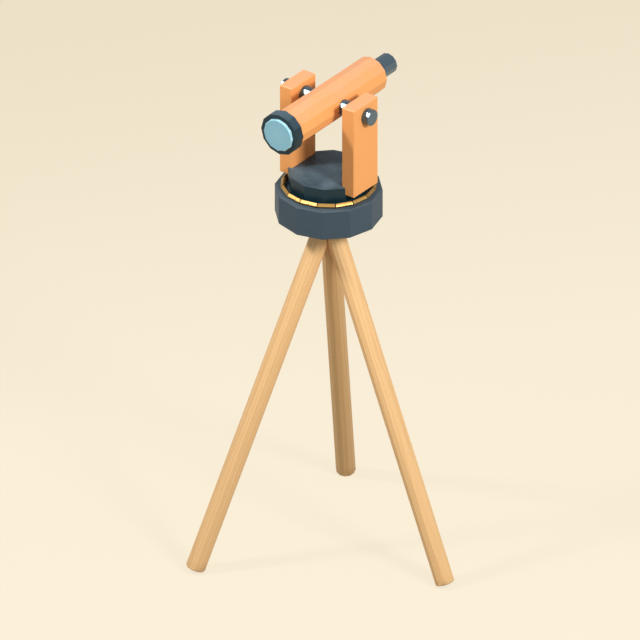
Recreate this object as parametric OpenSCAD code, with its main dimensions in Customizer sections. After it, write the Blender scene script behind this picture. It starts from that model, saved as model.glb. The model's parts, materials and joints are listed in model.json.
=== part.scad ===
// Plain theodolite on a three-legged wooden stand.
// The origin is the ground point under the plumb line, X runs along the trunnion axis,
// and the telescope lies along Y with its objective at the negative end.

/* [Stand] */
// Distance on the ground from the plumb line to the middle line of each leg
foot_circle_r = 403; // [360:1:440]
// Height of the drum's underside above the ground
drum_base_z = 1038; // [960:1:1120]
// Height above the drum's underside at which the middle lines of the legs meet
leg_meet_rise = 3; // [0:0.5:8]
// Width of a leg across its corners
leg_d = 55; // [46:1:58]
// Bevel round the foot end of a leg
foot_bevel = 3; // [1:0.5:5]
// Space left between neighbouring legs
leg_gap = 2.2; // [1:0.1:4]
// Radius of the rounded top of a leg, measured from its hinge pin
cheek_r = 40; // [36:1:42]
// Half width of the open passage for the plumb line
plumb_way = 8; // [6:0.5:10]
// Radius of a hinge pin
hinge_pin_r = 5; // [3:0.25:6]
// Length of a hinge pin
hinge_pin_len = 44; // [36:1:46]

/* [Stand head] */
// Thickness of each hinge lug
lug_t = 16; // [12:0.5:20]
// Radius of the eye at the end of each hinge lug
lug_eye_r = 15; // [11:0.5:16]
// Radius of the head's flange
flange_r = 66; // [64:1:80]
// Thickness of the head's flange
flange_t = 12; // [8:0.5:16]
// Radius of the middle boss
boss_r = 15; // [12:0.5:20]
// Length of the middle boss below the flange
boss_len = 18; // [16:1:22]
// Radius of the blind bore for the plumb line's hook
plumb_bore_r = 3; // [2:0.25:5]
// Depth of the blind bore for the plumb line's hook
plumb_bore_len = 14; // [8:1:16]
// Radius of the circle of head bolts
head_bolt_circle_r = 50; // [44:1:54]
// Shank radius of a head bolt
head_bolt_r = 4; // [3:0.5:5]

/* [Drum] */
// Width of the drum across its corners
drum_d = 299; // [290:1:310]
// Height of the drum
drum_h = 89; // [80:1:100]
// Bevel round both rims of the drum
drum_bevel = 3; // [1:0.5:5]
// Least thickness of the drum's wall
drum_wall = 18.5; // [16:0.5:24]
// Thickness of the drum's top
drum_top_t = 14; // [12:1:20]
// Thickness of the drum's floor plate
floor_t = 12; // [8:1:14]
// Width of the ledge that the floor plate is screwed to
floor_ledge = 9; // [8:0.5:11]
// Thickness of the ribs inside the drum
rib_t = 6; // [4:0.5:10]

/* [Limb ring] */
// Number of brass bars round the limb
bar_count = 16; // [12:1:24]
// Distance from the drum's corners in to the ends of the bars' middle lines
bar_inset = 22.5; // [20:0.5:26]
// Half the diagonal of a bar's square section
bar_r = 7.3; // [5:0.1:8]
// Depth that a bar's lower edge is let into the drum
bar_sink = 0.8; // [0.4:0.1:2]
// Open joint between two bars
bar_joint = 1.6; // [0.6:0.1:3]

/* [Vertical axis] */
// Radius of the spindle
spindle_r = 18; // [14:0.5:20]
// Wall of the spindle's bush
bush_wall = 6; // [4:0.5:8]
// Wall of the boss round the bush
bush_boss_wall = 12; // [8:0.5:16]
// Height left under the spindle's bush for its nut
nut_room = 17; // [15:0.5:24]
// Distance from the turret disc's corners in to the thrust ring
thrust_inset = 29; // [27:0.5:34]
// Width of the thrust ring
thrust_w = 24; // [16:1:30]
// Height that the thrust ring stands above the drum
thrust_proud = 1; // [0.6:0.1:2]
// Depth of the thrust ring's groove
thrust_depth = 3; // [2:0.5:5]

/* [Turret] */
// Distance from the bars' circle in to the turret disc's corners
disc_inset = 14; // [13:0.5:18]
// Height of the turret's top face above the drum
disc_rise = 51.5; // [46:0.5:56]
// Bevel round the turret disc's upper rim
disc_bevel = 2; // [1:0.5:4]
// Distance from the turret disc's corners in to the inner face of a standard
standard_inset = 28; // [26:0.5:30]
// Thickness of a standard
standard_t = 43.5; // [38:0.5:46]
// Width of a standard
standard_w = 110.5; // [96:0.5:112]
// Bevel along the edges of a standard
standard_bevel = 3; // [2:0.5:6]
// Depth that a standard is let into the turret disc
standard_seat = 24.5; // [18:0.5:26]
// Height of a standard above the trunnion axis
standard_over = 37; // [34:1:48]
// Height of the trunnion axis above the turret's top face
trunnion_rise = 212.5; // [208:0.5:240]
// Radius of a standard's bolts
standard_bolt_r = 3; // [2:0.5:3.5]

/* [Telescope] */
// Width of the telescope tube across its corners
tube_d = 108; // [102:1:112]
// Length of the telescope tube
tube_len = 396; // [380:1:400]
// Least thickness of the tube's wall
tube_wall = 7.2; // [6:0.1:9]
// Bevel round the tube's rear rim
tube_bevel = 2.5; // [1:0.5:4]
// Height that the objective collar stands out of the tube
collar_step = 8.5; // [6:0.5:10]
// Length of the objective collar
collar_len = 30.5; // [22:0.5:34]
// Bevel round the objective collar's rims
collar_bevel = 1.6; // [0.8:0.2:3]
// Width of the collar's rim round the objective lens
lens_rim = 14.2; // [11:0.2:16]
// Height that the objective lens stands out of its collar
lens_proud = 7.8; // [4:0.2:10]
// Bevel round the front of the objective lens
lens_bevel = 2.6; // [1:0.2:3.6]
// Depth that the objective lens is let into its collar
lens_seat = 8; // [6:0.5:12]
// Distance from the tube's bore in to the light's way through the collar
aperture_step = 4; // [3:0.5:8]
// Width of the eyepiece across its corners
eyepiece_d = 60; // [52:1:64]
// Length of the eyepiece behind the tube
eyepiece_len = 78.5; // [66:0.5:84]
// Bevel round the eyepiece's rear rim
eyepiece_bevel = 2; // [1:0.5:4]
// Distance from the eyepiece's corners in to its drawtube
drawtube_step = 10; // [6:0.5:12]
// How far the eyepiece can be drawn out
eyepiece_travel = 12; // [10:1:20]
// Length of the drawtube that stays in the telescope when the eyepiece is drawn out
drawtube_guide = 18; // [16:1:20]
// Wall round the eyepiece's lenses
eye_wall = 5; // [4:0.5:6]

/* [Trunnions] */
// Width of the trunnion collars and knobs across their corners
knob_d = 47; // [46:0.5:52]
// Length that a knob stands out from its standard
knob_len = 23; // [16:0.5:30]
// Bevel round the rims of the knobs and trunnion collars
knob_bevel = 1; // [0.4:0.2:2]
// Distance from the trunnion collars' corners in to the journals
journal_step = 7.5; // [6:0.25:8]
// Wall of a trunnion's bush
trunnion_bush_wall = 6; // [5:0.25:6.5]
// Radius of the focusing shaft and of the clamp stud
shaft_r = 6; // [5:0.25:6.5]

/* [Focusing] */
// Module of the focusing rack and pinion
gear_module = 1; // [0.9:0.02:1.04]
// Teeth on the focusing pinion
pinion_teeth = 16; // [16:1:17]
// Pressure angle of the teeth
pressure_angle = 20; // [18:0.5:22]
// Play between the flanks of the teeth
tooth_play = 0.16; // [0.1:0.02:0.3]
// Width of the rack
rack_w = 7; // [5:0.5:7]
// Depth of the rack's bar behind its teeth
rack_back = 5; // [3:0.5:5.5]
// Space between the focusing slide's tube and the telescope's bore
slide_space = 15; // [14:0.5:18]
// Wall of the focusing slide
slide_wall = 3; // [2:0.25:5]
// Distance from the pinion to the inner face of each guide ring
slide_half = 45; // [42:1:52]
// Length of each guide ring
land_len = 10; // [6:0.5:14]

/* [Clearances] */
// Radial clearance of shafts that turn and tubes that slide
running = 0.05; // [0.02:0.01:0.1]
// Radial clearance of bushes, spigots and screws that stay fixed
fixed = 0.05; // [0.02:0.01:0.1]
// Space beside parts that swing past each other
side_gap = 0.3; // [0.2:0.05:0.6]

/* [Hidden] */
$fn = 64;

// The large round castings are twelve-sided, with a corner on each axis
facets = 12;
leg_count = 3;
leg_angles = [0, 120, 240];
flat_share = cos(180 / facets);
far = 2000;
nudge = 1;

// Stand
leg_r = leg_d / 2;
leg_meet_z = drum_base_z + leg_meet_rise;
leg_tilt = atan(foot_circle_r / leg_meet_z);
hinge_r = (leg_r + leg_gap / 2) / sin(180 / leg_count);
hinge_z = leg_meet_z - hinge_r / tan(leg_tilt);
leg_len = (hinge_z - (leg_r - foot_bevel) * sin(leg_tilt)) / cos(leg_tilt);
slot_rise = cheek_r + 20;

// Stand head
flange_z = drum_base_z - flange_t;
lug_root_drop = 26;
lug_root_z = flange_z - lug_root_drop;
lug_inset = 4;
head_bolt_head_r = head_bolt_r * 1.6;
head_bolt_head_h = head_bolt_r * 1.5;
head_bolt_reach = floor_t - 2;
head_bolt_count = 6;
head_bolt_start = 30;

// Drum
drum_r = drum_d / 2;
drum_hollow_r = drum_r * flat_share - drum_wall;
drum_top_z = drum_base_z + drum_h;
floor_top_z = drum_base_z + floor_t;
floor_r = drum_hollow_r + floor_ledge;
floor_screw_r = 2.5;
floor_screw_circle_r = drum_hollow_r + floor_ledge / 2;
floor_screw_count = 6;
floor_screw_start = 15;
floor_screw_head_r = 4;
floor_screw_head_h = 3;
floor_screw_reach = 12;
boss_wall_r = spindle_r + bush_wall + bush_boss_wall;
bush_base_z = floor_top_z + nut_room;
rib_count = 6;
rib_drop = 30;

// Limb ring
bar_sides = 4;
bar_circle_r = drum_r - bar_inset;
bar_turn = 360 / bar_count;
bar_z = drum_top_z + bar_r - bar_sink;
bar_mid_r = bar_circle_r * cos(bar_turn / 2);

// Turret
disc_r = bar_circle_r - disc_inset;
thrust_out_r = disc_r - thrust_inset;
thrust_in_r = thrust_out_r - thrust_w;
disc_base_z = drum_top_z + thrust_proud + running;
disc_top_z = drum_top_z + disc_rise;
standard_in_x = disc_r - standard_inset;
standard_base_z = disc_top_z - standard_seat;
trunnion_z = disc_top_z + trunnion_rise;
standard_h = trunnion_z + standard_over - standard_base_z;
standard_out_x = standard_in_x + standard_t;
standard_bolt_in = 10;
standard_bolt_ys = [-30, -10, 10, 30];
standard_bolt_head_r = 5;
standard_bolt_head_h = 4;
standard_bolt_reach = 16;
counterbore = 6;
spindle_flange_r = spindle_r + 17;
spindle_flange_t = 10;
spindle_flange_z = disc_base_z + 2;
spindle_tail_r = spindle_r - 5;
spindle_tail_z = floor_top_z + 3;
spindle_screw_r = 2.5;
spindle_screw_count = 6;
spindle_screw_circle_r = spindle_r + 9;
spindle_screw_head_r = 4;
spindle_screw_head_h = 3;
spindle_screw_reach = 12;
washer_t = 3;
washer_r = spindle_r + bush_wall + 4;
nut_t = bush_base_z - side_gap - washer_t - spindle_tail_z - 1;
nut_r = spindle_r + 4;
nut_sides = 6;

// Telescope
tube_r = tube_d / 2;
tube_half = tube_len / 2;
tube_bore_r = tube_r * flat_share - tube_wall;
aperture_r = tube_bore_r - aperture_step;
collar_r = tube_r + collar_step;
collar_front_y = -tube_half - collar_len;
spigot_len = 18;
lens_r = collar_r - lens_rim;
inner_lens_t = 7;
inner_lens_r = aperture_r - 1;
inner_lens_y = collar_front_y + lens_seat + 2;
inner_lens_ball_r = 150;
lens_half_waist = 1;
ball_sides = 96;
lens_ring_w = 5;
lens_ring_t = 5;
cap_t = 10;
reticle_y = tube_half - 40;
reticle_t = 4;
reticle_hole_r = 9;
hair_r = 0.3;
eyepiece_r = eyepiece_d / 2;
drawtube_r = eyepiece_r - drawtube_step;
drawtube_len = drawtube_guide + eyepiece_travel;
eye_way_r = drawtube_r - eye_wall;
eye_stop = 4;
eye_lens_t = 5;
eye_ball_r = 34;

// Trunnions
knob_r = knob_d / 2;
journal_r = knob_r - journal_step;
collar_saddle = 6;
collar_in_x = tube_r * flat_share - collar_saddle;
spigot_r = journal_r - 2;
spigot_in_x = tube_bore_r - 2;
trunnion_bush_r = journal_r + running + trunnion_bush_wall;
knob_in_x = standard_out_x + side_gap;
knob_out_x = standard_out_x + knob_len;
stud_len = 60;
knob_socket = 14;

// Focusing
pinion_pitch_r = gear_module * pinion_teeth / 2;
rack_pitch = PI * gear_module;
addendum = gear_module;
dedendum = gear_module * 1.25;
rack_out_x = tube_bore_r - 4.5;
rack_in_x = rack_out_x - rack_w;
slide_r = tube_bore_r - slide_space;
pinion_in_x = rack_in_x - 0.5;
pinion_out_x = rack_out_x + 0.5;
rack_margin = 4;
rack_teeth = 2 * floor((slide_half - rack_margin) / rack_pitch) - 1;
flank_steps = 5;
focus_ball_r = 80;
focus_lens_t = 5;

// Places a child drawn for the leg that points along +X on one of the three legs
module at_leg(index) {
    rotate([0, 0, leg_angles[index]]) children();
}

// Puts the hinge pin's middle at the origin and the leg's foot straight below it
module leg_frame() {
    translate([hinge_r, 0, hinge_z]) rotate([0, -leg_tilt, 0]) children();
}

// Turns a child drawn along Z so that it runs along Y at the height of the trunnion axis
module along_y() {
    translate([0, 0, trunnion_z]) rotate([-90, 0, 0]) children();
}

// The same for a child that runs along X
module along_x() {
    translate([0, 0, trunnion_z]) rotate([90, 0, 90]) children();
}

// Twelve-sided barrel through a list of [height, corner radius]
module facet_barrel(rings) {
    rows = len(rings);
    points = [
        for (ring = rings, i = [0 : facets - 1])
            [ring[1] * cos(i * 360 / facets), ring[1] * sin(i * 360 / facets), ring[0]]
    ];
    walls = [
        for (row = [0 : rows - 2], i = [0 : facets - 1])
            let (j = (i + 1) % facets, low = row * facets, high = low + facets)
                [low + i, high + i, high + j, low + j]
    ];
    base = [for (i = [0 : facets - 1]) i];
    lid = [for (i = [facets - 1 : -1 : 0]) (rows - 1) * facets + i];
    polyhedron(points = points, faces = concat(walls, [base], [lid]), convexity = 4);
}

// Twelve-sided prism from one height to another, with a bevel at either end
module facet_prism(r, low, high, low_bevel = 0, high_bevel = 0) {
    facet_barrel(concat(
        low_bevel > 0 ? [[low, r - low_bevel]] : [],
        [[low + low_bevel, r], [high - high_bevel, r]],
        high_bevel > 0 ? [[high, r - high_bevel]] : []
    ));
}

// Rectangle with bevelled corners
module bevel_rect(w, d, b) {
    polygon([
        [b - w / 2, -d / 2], [w / 2 - b, -d / 2], [w / 2, b - d / 2], [w / 2, d / 2 - b],
        [w / 2 - b, d / 2], [b - w / 2, d / 2], [-w / 2, d / 2 - b], [-w / 2, b - d / 2]
    ]);
}

// Box with all twelve edges bevelled, centred on the origin
module bevel_box(w, d, h, b) {
    intersection() {
        linear_extrude(height = h, center = true) bevel_rect(w, d, b);
        rotate([90, 0, 0]) linear_extrude(height = d, center = true) bevel_rect(w, h, b);
        rotate([90, 0, 90]) linear_extrude(height = w, center = true) bevel_rect(d, h, b);
    }
}

// Cylinder between two heights
module rod(r, low, high) {
    translate([0, 0, low]) cylinder(r = r, h = high - low);
}

// Ring between two heights
module tube(outer, inner, low, high) {
    difference() {
        rod(outer, low, high);
        rod(inner, low - nudge, high + nudge);
    }
}

// Places a child at equal steps round the Z axis
module around(count, r, start = 0) {
    for (i = [0 : count - 1]) {
        rotate([0, 0, start + i * 360 / count]) translate([r, 0, 0]) children();
    }
}

// Cap screw that points up, with its head's top face at the given height
module screw_up(shank_r, head_r, head_h, seat_z, reach) {
    rod(head_r, seat_z - head_h, seat_z);
    rod(shank_r, seat_z, seat_z + reach);
}

// Third of a turn that belongs to the leg along +X, clear of its neighbours
module leg_sector() {
    slope = tan(180 / leg_count);
    shift = leg_gap / 2 / sin(180 / leg_count);
    linear_extrude(height = hinge_z + cheek_r + nudge) {
        polygon([
            [plumb_way, (shift - plumb_way) * slope],
            [far, (shift - far) * slope],
            [far, (far - shift) * slope],
            [plumb_way, (plumb_way - shift) * slope]
        ]);
    }
}

// The turned pole without its hinge
module leg_pole() {
    intersection() {
        leg_frame() facet_prism(leg_r, -leg_len, cheek_r + nudge, foot_bevel);
        leg_frame() union() {
            rotate([90, 0, 0]) cylinder(r = cheek_r, h = 2 * leg_d, center = true);
            translate([-leg_d, -leg_d, -leg_len - nudge])
                cube([2 * leg_d, 2 * leg_d, leg_len + nudge]);
        }
        leg_sector();
    }
}

// Slot in the leg's top in which the lug swings from spread to folded
module lug_slot() {
    r = lug_eye_r + side_gap;
    tangent = [-r * cos(leg_tilt), -r * sin(leg_tilt)];
    translate([hinge_r, 0, hinge_z]) rotate([90, 0, 0])
        linear_extrude(height = lug_t + 2 * side_gap, center = true) {
            circle(r = r);
            polygon([
                [r, 0], [r, slot_rise],
                tangent + slot_rise * [-sin(leg_tilt), cos(leg_tilt)],
                tangent
            ]);
        }
}

// Straight bar along the hinge pin's axis
module hinge_axis(r, length) {
    translate([hinge_r, 0, hinge_z]) rotate([90, 0, 0])
        cylinder(r = r, h = length, center = true);
}

module leg(index) {
    color("burlywood") at_leg(index) difference() {
        leg_pole();
        lug_slot();
        hinge_axis(hinge_pin_r + fixed, leg_d + nudge);
    }
}

module hinge_pin(index) {
    color("silver") at_leg(index) hinge_axis(hinge_pin_r, hinge_pin_len);
}

// Wooden plugs that close the pin's hole flush with the leg
module pin_plugs(index) {
    color("burlywood") at_leg(index) difference() {
        intersection() {
            leg_pole();
            hinge_axis(hinge_pin_r, leg_d + nudge);
        }
        hinge_axis(hinge_pin_r + nudge, hinge_pin_len + side_gap);
    }
}

// One lug of the head, in the plane of the leg along +X
module hinge_lug() {
    rotate([90, 0, 0]) linear_extrude(height = lug_t, center = true) {
        translate([hinge_r, hinge_z]) circle(r = lug_eye_r);
        polygon([
            [hinge_r - lug_eye_r, hinge_z], [hinge_r + lug_eye_r, hinge_z],
            [hinge_r + lug_eye_r, lug_root_z], [flange_r - lug_inset, flange_z + nudge],
            [0, flange_z + nudge], [0, flange_z - boss_len + nudge],
            [hinge_r - lug_eye_r, lug_root_z]
        ]);
    }
}

module stand_head() {
    color("darkslategray") difference() {
        union() {
            rod(flange_r, flange_z, drum_base_z);
            rod(boss_r, flange_z - boss_len, flange_z + nudge);
            for (i = [0 : leg_count - 1]) at_leg(i) hinge_lug();
        }
        rod(plumb_bore_r, flange_z - boss_len - nudge, flange_z - boss_len + plumb_bore_len);
        around(head_bolt_count, head_bolt_circle_r, head_bolt_start)
            rod(head_bolt_r + fixed, flange_z - nudge, drum_base_z + nudge);
        for (i = [0 : leg_count - 1]) at_leg(i) hinge_axis(hinge_pin_r + running, leg_d);
    }
}

module head_bolts() {
    color("silver") around(head_bolt_count, head_bolt_circle_r, head_bolt_start)
        screw_up(head_bolt_r, head_bolt_head_r, head_bolt_head_h, flange_z,
            flange_t + head_bolt_reach);
}

// One straight bar of the limb ring, with mitred ends, grown by a clearance
module limb_bar(grow) {
    shift = (bar_joint / 2 - grow) / sin(bar_turn / 2);
    slope = tan(bar_turn / 2);
    intersection() {
        translate([bar_mid_r, 0, bar_z]) rotate([90, 0, 0])
            cylinder(r = bar_r + grow * sqrt(2), h = bar_circle_r, center = true, $fn = bar_sides);
        translate([shift, 0, 0]) linear_extrude(height = far)
            polygon([[0, 0], [far, -far * slope], [far, far * slope]]);
    }
}

module limb_bars(grow = 0) {
    around(bar_count, 0, bar_turn / 2) limb_bar(grow);
}

module limb_ring() {
    color("goldenrod") limb_bars();
}

module drum_shell() {
    color("slategray") difference() {
        union() {
            difference() {
                facet_prism(drum_r, drum_base_z, drum_top_z, drum_bevel, drum_bevel);
                rod(floor_r, drum_base_z - nudge, floor_top_z);
                rod(drum_hollow_r, floor_top_z - nudge, drum_top_z - drum_top_t);
            }
            rod(boss_wall_r, bush_base_z, drum_top_z - drum_top_t + nudge);
            around(rib_count, 0) translate([boss_wall_r - nudge, -rib_t / 2,
                drum_top_z - drum_top_t - rib_drop])
                cube([drum_hollow_r - boss_wall_r + 2 * nudge, rib_t, rib_drop + nudge]);
        }
        rod(spindle_r + bush_wall + fixed, bush_base_z - nudge, drum_top_z + nudge);
        tube(thrust_out_r + fixed, thrust_in_r - fixed,
            drum_top_z - thrust_depth, drum_top_z + nudge);
        around(floor_screw_count, floor_screw_circle_r, floor_screw_start)
            rod(floor_screw_r + fixed, floor_top_z - nudge, floor_top_z + floor_screw_reach);
        limb_bars(fixed);
    }
}

module drum_floor() {
    color("slategray") difference() {
        rod(floor_r - fixed, drum_base_z, floor_top_z);
        around(floor_screw_count, floor_screw_circle_r, floor_screw_start) union() {
            rod(floor_screw_r + fixed, drum_base_z - nudge, floor_top_z + nudge);
            rod(floor_screw_head_r + fixed, drum_base_z - nudge,
                drum_base_z + floor_screw_head_h);
        }
        around(head_bolt_count, head_bolt_circle_r, head_bolt_start)
            rod(head_bolt_r + fixed, drum_base_z - nudge,
                drum_base_z + head_bolt_reach + fixed);
    }
}

module floor_screws() {
    color("silver") around(floor_screw_count, floor_screw_circle_r, floor_screw_start)
        screw_up(floor_screw_r, floor_screw_head_r, floor_screw_head_h,
            drum_base_z + floor_screw_head_h,
            floor_t - floor_screw_head_h + floor_screw_reach - nudge);
}

module axis_bush() {
    color("peru") tube(spindle_r + bush_wall, spindle_r + running, bush_base_z, drum_top_z);
}

module thrust_ring() {
    color("peru") tube(thrust_out_r, thrust_in_r,
        drum_top_z - thrust_depth, drum_top_z + thrust_proud);
}

// Outline of a standard, on the side given by its sign
module standard_blank(side, grow = 0) {
    translate([side * (standard_in_x + standard_t / 2), 0, standard_base_z + standard_h / 2])
        bevel_box(standard_t + 2 * grow, standard_w + 2 * grow, standard_h + 2 * grow,
            standard_bevel);
}

// Places a child at each of one standard's bolts
module at_standard_bolts(side) {
    for (y = standard_bolt_ys) {
        translate([side * (standard_in_x + standard_bolt_in), y, 0]) children();
    }
}

module turret_disc() {
    seat_w = standard_w + 2 * side_gap;
    color("darkslategray") difference() {
        facet_prism(disc_r, disc_base_z, disc_top_z, 0, disc_bevel);
        for (side = [-1, 1]) {
            translate([side * (standard_in_x - side_gap + disc_r / 2), 0,
                standard_base_z + disc_r / 2])
                cube([disc_r, seat_w, disc_r], center = true);
            at_standard_bolts(side) union() {
                rod(standard_bolt_r + fixed, disc_base_z - nudge, disc_top_z);
                rod(standard_bolt_head_r + fixed, disc_base_z - nudge,
                    disc_base_z + counterbore);
            }
        }
        rod(spindle_flange_r + fixed, disc_base_z - nudge, spindle_flange_z + spindle_flange_t);
        around(spindle_screw_count, spindle_screw_circle_r)
            rod(spindle_screw_r + fixed, disc_base_z,
                spindle_flange_z + spindle_flange_t + spindle_screw_reach);
    }
}

module spindle() {
    color("silver") difference() {
        union() {
            rod(spindle_tail_r, spindle_tail_z, bush_base_z - side_gap);
            rod(spindle_r, bush_base_z - side_gap, spindle_flange_z + nudge);
            rod(spindle_flange_r, spindle_flange_z, spindle_flange_z + spindle_flange_t);
        }
        around(spindle_screw_count, spindle_screw_circle_r) union() {
            rod(spindle_screw_r + fixed, spindle_flange_z - nudge,
                spindle_flange_z + spindle_flange_t + nudge);
            rod(spindle_screw_head_r + fixed, spindle_flange_z - nudge,
                spindle_flange_z + spindle_screw_head_h);
        }
    }
}

module spindle_screws() {
    color("gray") around(spindle_screw_count, spindle_screw_circle_r)
        screw_up(spindle_screw_r, spindle_screw_head_r, spindle_screw_head_h,
            spindle_flange_z + spindle_screw_head_h,
            spindle_flange_t - spindle_screw_head_h + spindle_screw_reach - nudge);
}

module spring_washer() {
    top = bush_base_z - side_gap;
    color("gray") tube(washer_r, spindle_tail_r + fixed, top - washer_t, top);
}

module spindle_nut() {
    low = spindle_tail_z + nudge;
    color("gray") difference() {
        translate([0, 0, low]) cylinder(r = nut_r, h = nut_t, $fn = nut_sides);
        rod(spindle_tail_r + fixed, low - nudge, low + nut_t + nudge);
    }
}

module standard(side) {
    color("sandybrown") difference() {
        standard_blank(side);
        along_x() cylinder(r = trunnion_bush_r + fixed, h = far, center = true);
        at_standard_bolts(side)
            rod(standard_bolt_r + fixed, standard_base_z - nudge,
                standard_base_z + standard_bolt_reach);
    }
}

module standard_bolts() {
    seat_z = disc_base_z + counterbore;
    color("gray") for (side = [-1, 1]) at_standard_bolts(side)
        screw_up(standard_bolt_r, standard_bolt_head_r, standard_bolt_head_h, seat_z,
            standard_base_z - seat_z + standard_bolt_reach - nudge);
}

// Mirrors a child that is drawn on the +X side
module on_side(side) {
    if (side > 0) children();
    else mirror([1, 0, 0]) children();
}

module trunnion_bush(side) {
    color("peru") on_side(side) along_x()
        tube(trunnion_bush_r, journal_r + running,
            standard_in_x + nudge, standard_out_x - nudge);
}

// Stub shaft that carries the telescope, with a collar that fits the tube's side
module trunnion(side) {
    color("dimgray") on_side(side) difference() {
        union() {
            difference() {
                along_x() facet_prism(knob_r, collar_in_x, standard_in_x - side_gap,
                    0, knob_bevel);
                along_y() cylinder(r = tube_r + fixed, h = tube_len, center = true,
                    $fn = facets);
            }
            along_x() rod(spigot_r, spigot_in_x, standard_in_x - nudge);
            along_x() rod(journal_r, standard_in_x - 2 * nudge, standard_out_x - nudge);
        }
        along_x() rod(shaft_r + running, 0, far);
    }
}

module telescope_tube() {
    color("sandybrown") difference() {
        along_y() facet_prism(tube_r, -tube_half, tube_half, 0, tube_bevel);
        along_y() rod(tube_bore_r, -far, far);
        along_x() cylinder(r = spigot_r + fixed, h = far, center = true);
    }
}

module objective_collar() {
    color("darkslategray") along_y() difference() {
        union() {
            facet_prism(collar_r, collar_front_y, -tube_half, collar_bevel, collar_bevel);
            rod(tube_bore_r - fixed, -tube_half - nudge, spigot_len - tube_half);
        }
        translate([0, 0, collar_front_y - nudge])
            cylinder(r = lens_r + fixed, h = lens_seat + nudge, $fn = facets);
        rod(aperture_r, collar_front_y, 0);
    }
}

module objective_lens() {
    color("lightblue") along_y() facet_prism(lens_r, collar_front_y - lens_proud,
        collar_front_y + lens_seat, lens_bevel, 0);
}

// Hollow-faced lens inside the collar
module inner_lens() {
    mid = inner_lens_y + inner_lens_t / 2;
    color("lightblue") along_y() difference() {
        rod(inner_lens_r, inner_lens_y, inner_lens_y + inner_lens_t);
        for (side = [-1, 1]) {
            translate([0, 0, mid + side * (lens_half_waist + inner_lens_ball_r)])
                sphere(r = inner_lens_ball_r, $fn = ball_sides);
        }
    }
}

module lens_ring() {
    low = inner_lens_y + inner_lens_t;
    color("dimgray") along_y()
        tube(aperture_r - fixed, aperture_r - lens_ring_w, low, low + lens_ring_t);
}

module rear_cap() {
    color("sandybrown") along_y()
        tube(tube_bore_r - fixed, drawtube_r + running, tube_half - cap_t, tube_half);
}

module reticle() {
    color("gray") along_y() union() {
        tube(tube_bore_r - fixed, reticle_hole_r, reticle_y, reticle_y + reticle_t);
        translate([0, 0, reticle_y + reticle_t / 2]) {
            rotate([90, 0, 0]) cylinder(r = hair_r, h = 2 * reticle_hole_r + nudge, center = true);
            rotate([0, 90, 0]) cylinder(r = hair_r, h = 2 * reticle_hole_r + nudge, center = true);
        }
    }
}

// Tube with two guide rings that slides in the telescope
module focus_slide() {
    end = slide_half + land_len;
    color("dimgray") along_y() difference() {
        union() {
            rod(slide_r, -end, end);
            rod(tube_bore_r - running, -end, -slide_half);
            rod(tube_bore_r - running, slide_half, end);
        }
        rod(slide_r - slide_wall, -far, far);
    }
}

module focus_lens() {
    low = -slide_half;
    mid = low + focus_lens_t / 2;
    color("lightblue") along_y() difference() {
        rod(slide_r - slide_wall - fixed, low, low + focus_lens_t);
        for (side = [-1, 1]) {
            translate([0, 0, mid + side * (lens_half_waist + focus_ball_r)])
                sphere(r = focus_ball_r, $fn = ball_sides);
        }
    }
}

// Straight teeth that point down, with a space over the middle of the pinion
module focus_rack() {
    slope = tan(pressure_angle);
    half = rack_pitch / 4 - tooth_play / 4;
    foot = half + dedendum * slope;
    tip = half - addendum * slope;
    high = pinion_pitch_r + dedendum;
    low = pinion_pitch_r - addendum;
    first = -rack_teeth / 2;
    teeth = [
        for (i = [0 : rack_teeth])
            let (y = (first + i) * rack_pitch)
                each [[y - foot, high], [y - tip, low], [y + tip, low], [y + foot, high]]
    ];
    outline = concat(
        [[-slide_half, high]], teeth,
        [[slide_half, high], [slide_half, high + rack_back], [-slide_half, high + rack_back]]
    );
    color("goldenrod") translate([-rack_out_x, 0, trunnion_z])
        rotate([90, 0, 90]) linear_extrude(height = rack_w) polygon(outline);
}

// Point on an involute at the given roll angle, in degrees
function involute(base_r, roll) = base_r * [
    cos(roll) + roll * PI / 180 * sin(roll),
    sin(roll) - roll * PI / 180 * cos(roll)
];

function turned(p, angle) = [
    p[0] * cos(angle) - p[1] * sin(angle),
    p[0] * sin(angle) + p[1] * cos(angle)
];

// Outline of a spur gear with one tooth on the first axis
function gear_outline(teeth) = let (
    pitch_r = gear_module * teeth / 2,
    base_r = pitch_r * cos(pressure_angle),
    tip_r = pitch_r + addendum,
    root_r = pitch_r - dedendum,
    tip_roll = sqrt(pow(tip_r / base_r, 2) - 1) * 180 / PI,
    pitch_roll = tan(pressure_angle) * 180 / PI,
    thickness = 90 / teeth - tooth_play / pitch_r * 45 / PI,
    offset_turn = thickness + pitch_roll - pressure_angle,
    flank = [for (i = [0 : flank_steps]) involute(base_r, tip_roll * i / flank_steps)]
) [
    for (t = [0 : teeth - 1])
        let (turn = t * 360 / teeth)
            each concat(
                [turned([root_r, 0], turn - offset_turn)],
                [for (p = flank) turned(p, turn - offset_turn)],
                [for (i = [flank_steps : -1 : 0])
                    turned([flank[i][0], -flank[i][1]], turn + offset_turn)],
                [turned([root_r, 0], turn + offset_turn)]
            )
];

// Shaft from the knob through the left trunnion to the pinion cut on its end
module pinion_shaft() {
    color("silver") translate([0, 0, trunnion_z]) union() {
        rotate([0, -90, 0]) rod(shaft_r, pinion_out_x - nudge, knob_in_x + knob_socket);
        translate([-pinion_out_x, 0, 0]) rotate([90, 0, 90])
            linear_extrude(height = pinion_out_x - pinion_in_x)
                rotate([0, 0, 90]) polygon(gear_outline(pinion_teeth));
    }
}

// Twelve-sided knob with a socket for its shaft
module knob(side) {
    color("dimgray") on_side(side) along_x() difference() {
        facet_prism(knob_r, knob_in_x, knob_out_x, knob_bevel, knob_bevel);
        rod(shaft_r + fixed, knob_in_x - nudge, knob_in_x + knob_socket);
    }
}

module clamp_stud() {
    color("silver") along_x() rod(shaft_r, knob_in_x - stud_len, knob_in_x + knob_socket);
}

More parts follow.
